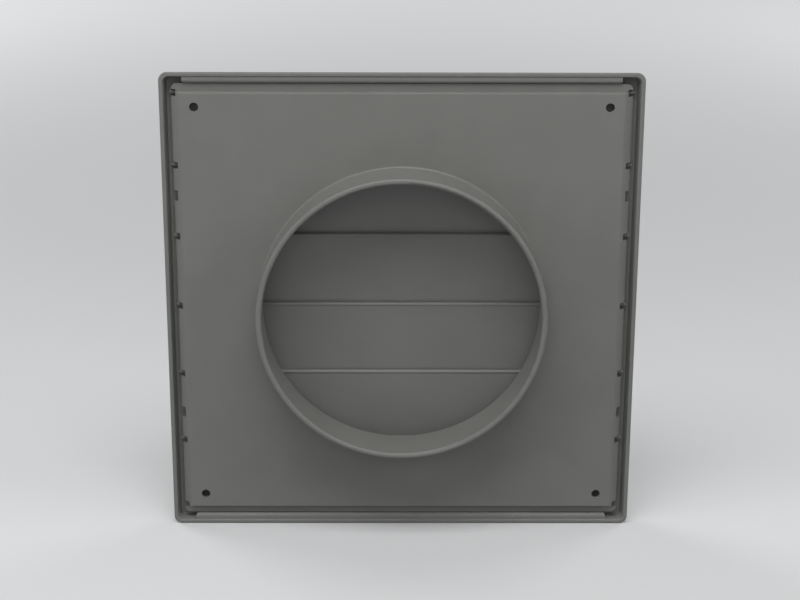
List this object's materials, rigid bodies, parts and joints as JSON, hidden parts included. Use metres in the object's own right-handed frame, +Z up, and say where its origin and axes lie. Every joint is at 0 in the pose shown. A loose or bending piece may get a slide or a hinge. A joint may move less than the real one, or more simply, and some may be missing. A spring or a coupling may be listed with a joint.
{
  "type": "louvred vent grille",
  "caption": "Square wall vent grille with self-closing gravity flaps in a moulded case and a round duct spigot on its back plate.",
  "frame": {"origin": "on the duct spigot's axis, in the plane of the back plate's raised field, which is the wall's face", "axes": "+Y out of the wall, towards the room or the open air, so the spigot points to -Y and the flaps open to +Y; +Z up as the grille hangs; +X to the right as seen from the back"},
  "size_m": [0.248, 0.045, 0.248],
  "materials": {
    "case": "injection-moulded ABS, satin",
    "plate": "injection-moulded ABS, satin",
    "flap": "injection-moulded ABS, satin"
  },
  "bodies": {
    "housing": {"front_case": "case", "back_plate": "plate"},
    "flap_1": {"flap_1": "flap"},
    "flap_2": {"flap_2": "flap"},
    "flap_3": {"flap_3": "flap"},
    "flap_4": {"flap_4": "flap"},
    "flap_5": {"flap_5": "flap"},
    "flap_6": {"flap_6": "flap"}
  },
  "joints": [
    {"name": "flap_1_hinge", "type": "hinge", "parent": "housing", "child": "flap_1", "pos_m": [0, 0.00575, 0.11325], "axis": [1, 0, 0], "range_deg": [0, 70]},
    {"name": "flap_2_hinge", "type": "hinge", "parent": "housing", "child": "flap_2", "pos_m": [0, 0.00575, 0.0755], "axis": [1, 0, 0], "range_deg": [0, 70]},
    {"name": "flap_3_hinge", "type": "hinge", "parent": "housing", "child": "flap_3", "pos_m": [0, 0.00575, 0.03775], "axis": [1, 0, 0], "range_deg": [0, 70]},
    {"name": "flap_4_hinge", "type": "hinge", "parent": "housing", "child": "flap_4", "pos_m": [0, 0.00575, 0], "axis": [1, 0, 0], "range_deg": [0, 70]},
    {"name": "flap_5_hinge", "type": "hinge", "parent": "housing", "child": "flap_5", "pos_m": [0, 0.00575, -0.03775], "axis": [1, 0, 0], "range_deg": [0, 70]},
    {"name": "flap_6_hinge", "type": "hinge", "parent": "housing", "child": "flap_6", "pos_m": [0, 0.00575, -0.0755], "axis": [1, 0, 0], "range_deg": [0, 70]}
  ]
}
